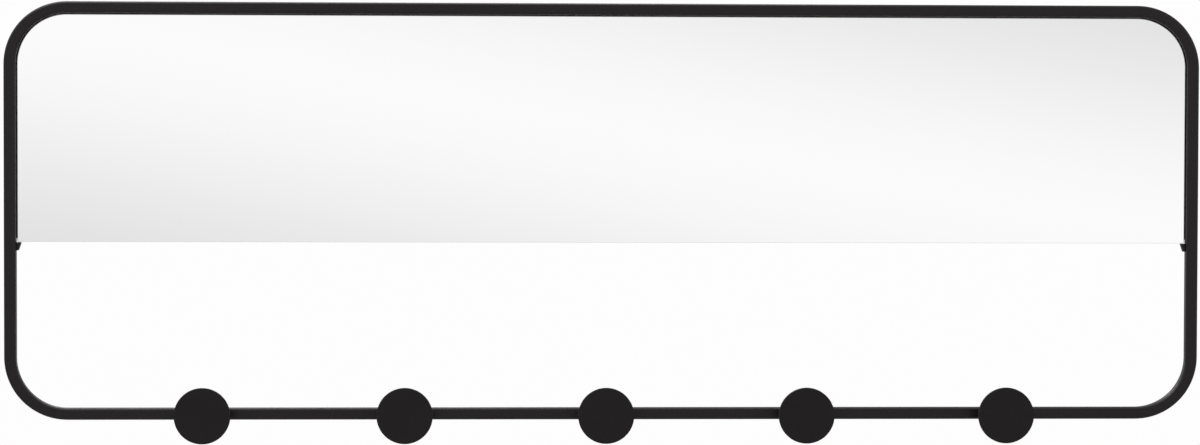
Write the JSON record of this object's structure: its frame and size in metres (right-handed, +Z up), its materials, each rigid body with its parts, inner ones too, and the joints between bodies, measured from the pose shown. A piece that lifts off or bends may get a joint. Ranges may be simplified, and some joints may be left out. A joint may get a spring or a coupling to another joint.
{
  "type": "wall mirror with hooks",
  "caption": "Wide low wall mirror in a bent square-tube frame with round corners; the glass ends above an open strip, and flat round disc hooks sit on the bottom rail.",
  "frame": {"origin": "on the wall plane, midway between the entry holes of the two wall hangers", "axes": "+X to the right as seen from the front, +Y into the wall, +Z up"},
  "size_m": [1.02, 0.04, 0.3737],
  "materials": {
    "frame_black": "matte black powder coat",
    "hook_black": "matte black powder coat",
    "mirror_glass": "clear silvered glass with ground edges",
    "tape": "foam tape",
    "hardboard": "smooth brown hardboard",
    "zinc_sheet": "bright zinc plate",
    "zinc_screws": "bright zinc plate",
    "rubber": "matte"
  },
  "bodies": {
    "root": {"frame_tube": "frame_black", "corner_lug_left": "frame_black", "corner_lug_right": "frame_black", "mirror_pane": "mirror_glass", "mirror_tape": "tape", "back_panel": "hardboard", "panel_screws": "zinc_screws", "hanger_plate_left": "zinc_sheet", "hanger_plate_right": "zinc_sheet", "hanger_screws": "zinc_screws", "hook_screws": "zinc_screws", "hook_washers": "zinc_screws", "wall_bumper_left": "rubber", "wall_bumper_right": "rubber", "hook_disc_1": "hook_black", "hook_stem_1": "hook_black", "hook_disc_2": "hook_black", "hook_stem_2": "hook_black", "hook_disc_3": "hook_black", "hook_stem_3": "hook_black", "hook_disc_4": "hook_black", "hook_stem_4": "hook_black", "hook_disc_5": "hook_black", "hook_stem_5": "hook_black"}
  },
  "joints": []
}
